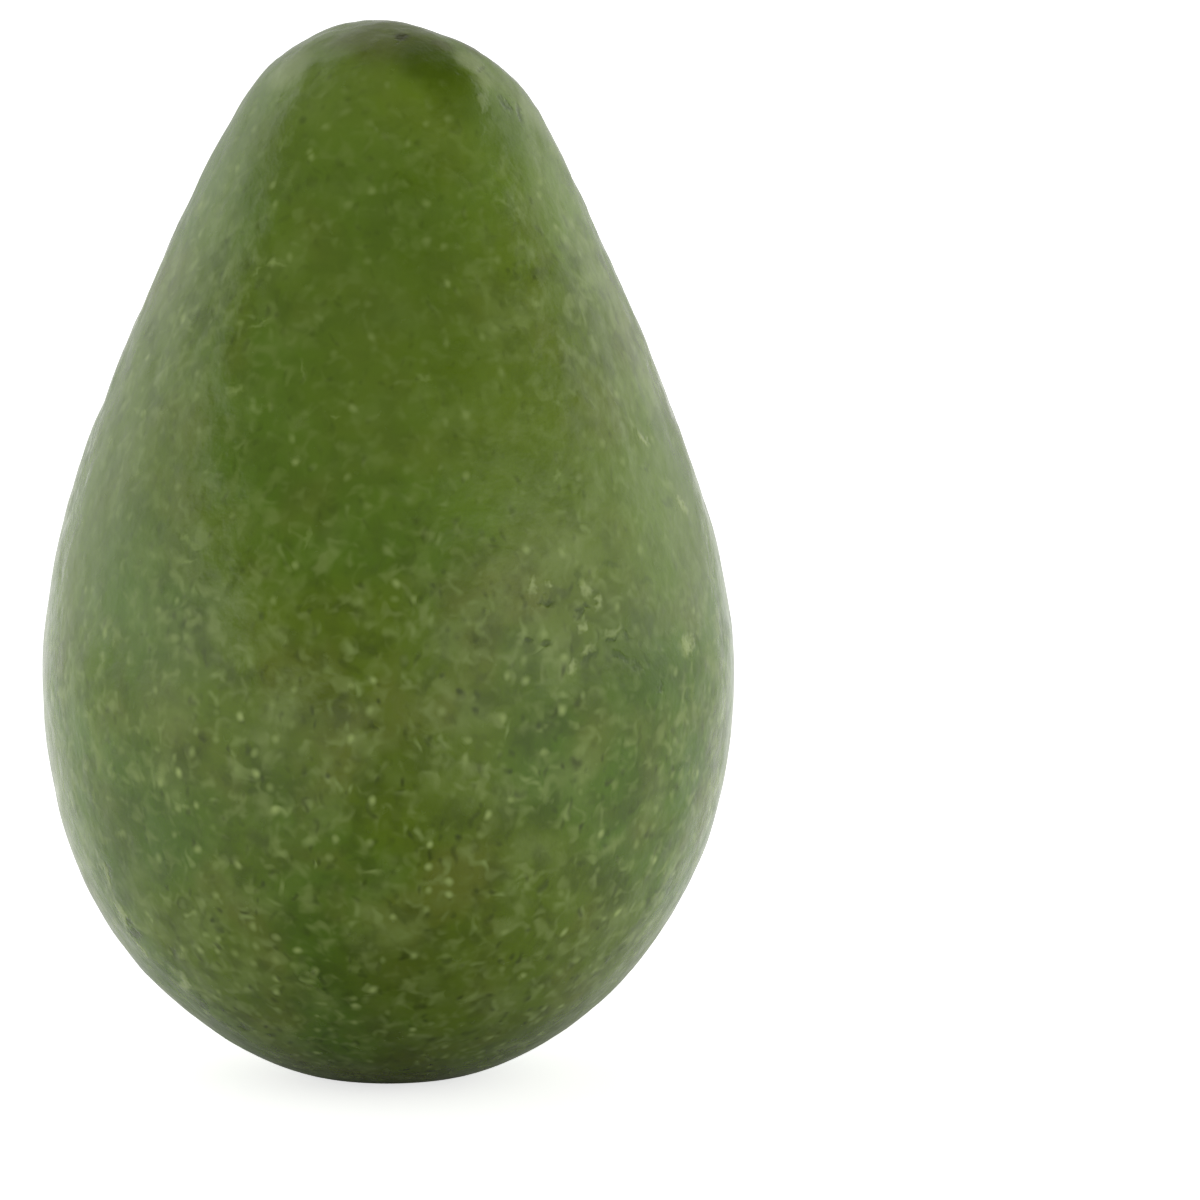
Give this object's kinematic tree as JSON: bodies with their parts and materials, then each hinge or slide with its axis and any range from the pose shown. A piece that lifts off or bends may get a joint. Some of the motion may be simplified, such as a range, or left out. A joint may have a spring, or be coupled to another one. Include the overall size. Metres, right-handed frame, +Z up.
{
  "type": "avocado",
  "caption": "Whole green avocado: a pear-shaped fruit with smooth, finely dotted skin that stands on its broad end, with a woody stem button in a shallow dip in its sloping crown.",
  "frame": {"origin": "middle of the footprint, on the surface that the fruit stands on", "axes": "+Z up through the crown, +X to the right and +Y to the back as the fruit stands in the picture"},
  "size_m": [0.0786, 0.0768, 0.12],
  "materials": {
    "skin": "satin, with pale dots and soft mottling",
    "stem": "dull and dry"
  },
  "bodies": {
    "root": {"fruit": "skin", "stem_button": "stem"}
  },
  "joints": []
}
